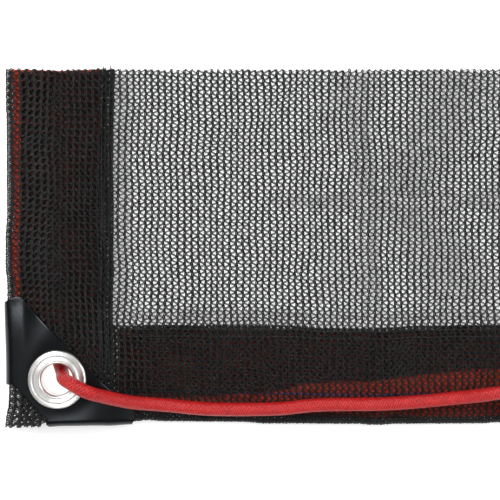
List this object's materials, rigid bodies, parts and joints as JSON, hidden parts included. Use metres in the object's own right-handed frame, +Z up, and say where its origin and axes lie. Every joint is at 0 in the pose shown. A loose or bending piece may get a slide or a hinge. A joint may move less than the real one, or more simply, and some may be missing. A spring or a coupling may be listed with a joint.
{
  "type": "mesh netting corner length with hems, corner patch, eyelet and elastic cord",
  "caption": "Corner length of black knitted mesh netting with hems folded over red tape, a black corner patch, a metal eyelet and a red elastic cord through it, lying flat.",
  "frame": {"origin": "bottom centre of the box of the cloth, patch and eyelet, on the surface that the netting lies on", "axes": "+X along the bottom hem away from the corner, +Y along the left hem away from the corner, +Z up out of the front face"},
  "size_m": [0.2497, 0.1614, 0.0266],
  "materials": {
    "net_black": "knitted from glossy black monofilament and tape yarn",
    "tape_red": "woven red webbing",
    "patch_black": "soft satin sheet with a gloss on its bends",
    "eyelet_metal": "bright plated, turned",
    "cord_red": "braided sleeve over rubber"
  },
  "bodies": {
    "root": {"netting": "net_black", "hem_tape_left": "tape_red", "hem_tape_bottom": "tape_red", "corner_patch": "patch_black", "eyelet": "eyelet_metal", "elastic_cord": "cord_red", "cord_knot": "cord_red"}
  },
  "joints": []
}
